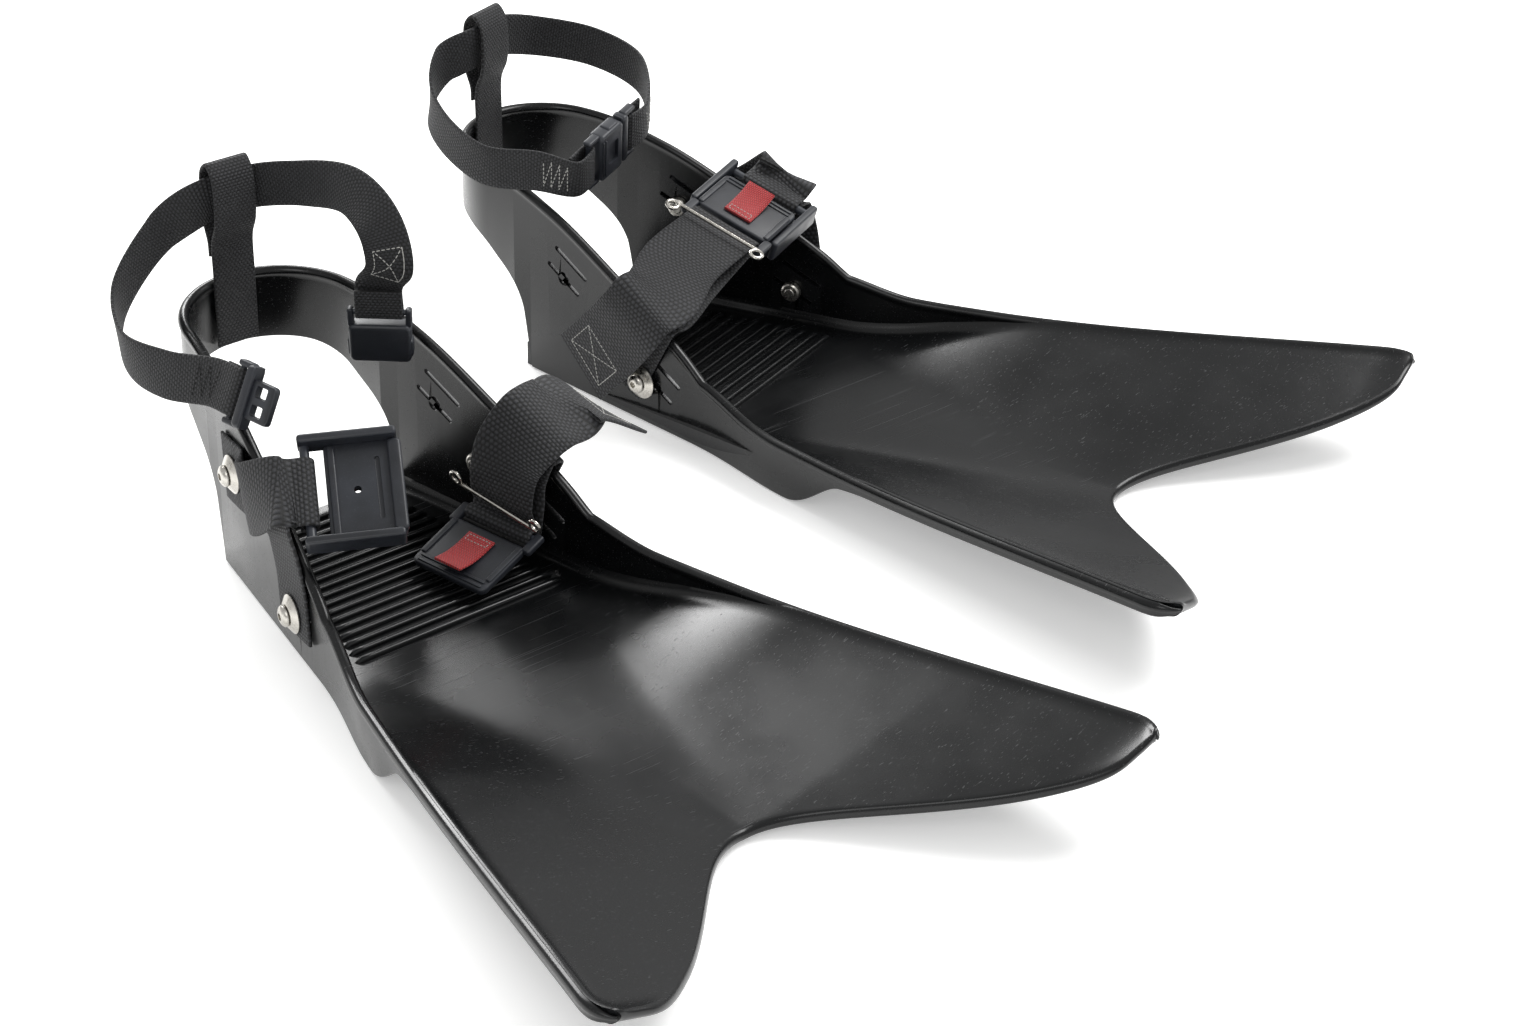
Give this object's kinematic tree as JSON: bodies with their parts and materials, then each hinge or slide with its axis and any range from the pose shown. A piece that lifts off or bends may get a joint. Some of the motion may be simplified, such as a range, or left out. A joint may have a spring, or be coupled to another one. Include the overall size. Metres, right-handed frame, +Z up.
{
  "type": "swim fins",
  "caption": "Pair of black rubber open-heel swim fins with V-channel blades, ribbed foot plates, bolted webbing straps, quick-release clasps and ankle buckles.",
  "frame": {"origin": "on the floor under the right fin's sole, at the middle of the foot plate's front edge", "axes": "+Z up, +Y from the right fin's heel to its blade, +X the wearer's right"},
  "size_m": [0.6996, 0.6256, 0.1919],
  "materials": {
    "rubber": "moulded, semi-gloss",
    "webbing": "woven nylon, matte",
    "plastic": "moulded acetal, satin",
    "steel": "stainless, polished",
    "red_webbing": "woven nylon, matte"
  },
  "bodies": {
    "right_fin": {"right_ankle_strap": "webbing", "right_heel_riser": "webbing", "right_inner_front_bolt": "steel", "right_inner_front_nut": "steel", "right_inner_front_washer": "steel", "right_inner_rear_bolt": "steel", "right_inner_rear_nut": "steel", "right_inner_rear_washer": "steel", "right_outer_front_bolt": "steel", "right_outer_front_nut": "steel", "right_outer_front_washer": "steel", "right_outer_rear_bolt": "steel", "right_outer_rear_nut": "steel", "right_outer_rear_washer": "steel", "right_shell": "rubber", "right_sling": "webbing", "right_wide_strap": "webbing", "right_wire_bar": "steel"},
    "left_fin": {"left_ankle_strap": "webbing", "left_buckle_socket": "plastic", "left_buckle_tongue": "plastic", "left_heel_riser": "webbing", "left_inner_front_bolt": "steel", "left_inner_front_nut": "steel", "left_inner_front_washer": "steel", "left_inner_rear_bolt": "steel", "left_inner_rear_nut": "steel", "left_inner_rear_washer": "steel", "left_outer_front_bolt": "steel", "left_outer_front_nut": "steel", "left_outer_front_washer": "steel", "left_outer_rear_bolt": "steel", "left_outer_rear_nut": "steel", "left_outer_rear_washer": "steel", "left_receptacle": "plastic", "left_shell": "rubber", "left_sling": "webbing", "left_wide_strap": "webbing", "left_wire_bar": "steel"},
    "right_receptacle": {"right_receptacle": "plastic"},
    "right_release_plate": {"right_release_plate": "plastic"},
    "right_buckle_socket": {"right_buckle_socket": "plastic"},
    "right_buckle_tongue": {"right_buckle_tongue": "plastic"},
    "left_release_plate": {"left_release_plate": "plastic"},
    "right_red_tab": {"right_red_tab": "red_webbing"},
    "left_red_tab": {"left_red_tab": "red_webbing"}
  },
  "joints": [
    {"name": "left_fin_lift", "type": "slide", "parent": "right_fin", "child": "left_fin", "axis": [0, 0, 1], "range_m": [0, 0.1]},
    {"name": "right_receptacle_swing", "type": "hinge", "parent": "right_fin", "child": "right_receptacle", "pos_m": [0.062, -0.04, 0.086], "axis": [0.4105, 0.7358, -0.5386], "range_deg": [-25, 30]},
    {"name": "right_release_plate_swing", "type": "hinge", "parent": "right_fin", "child": "right_release_plate", "pos_m": [-0.049, -0.036, 0.03], "axis": [-0.2019, 0.9794, 0], "range_deg": [-45, 4]},
    {"name": "right_buckle_socket_swing", "type": "hinge", "parent": "right_fin", "child": "right_buckle_socket", "pos_m": [-0.03541, -0.12031, 0.12197], "axis": [-0.76, 0.65, 0], "range_deg": [-30, 8]},
    {"name": "right_buckle_tongue_swing", "type": "hinge", "parent": "right_fin", "child": "right_buckle_tongue", "pos_m": [0.06149, -0.10189, 0.11539], "axis": [-0.4654, -0.1034, 0.879], "range_deg": [-30, 30]},
    {"name": "left_release_plate_swing", "type": "hinge", "parent": "left_fin", "child": "left_release_plate", "pos_m": [-0.28248, -0.14072, 0.08915], "axis": [-0.342, 0.8903, -0.3008], "range_deg": [0, 50]},
    {"name": "right_red_tab_swing", "type": "hinge", "parent": "right_release_plate", "child": "right_red_tab", "pos_m": [-0.03501, -0.03312, 0.0287], "axis": [-0.2019, 0.9794, 0], "range_deg": [-70, 0]},
    {"name": "left_red_tab_swing", "type": "hinge", "parent": "left_release_plate", "child": "left_red_tab", "pos_m": [-0.29564, -0.14426, 0.09362], "axis": [-0.342, 0.8903, -0.3008], "range_deg": [0, 70]}
  ]
}
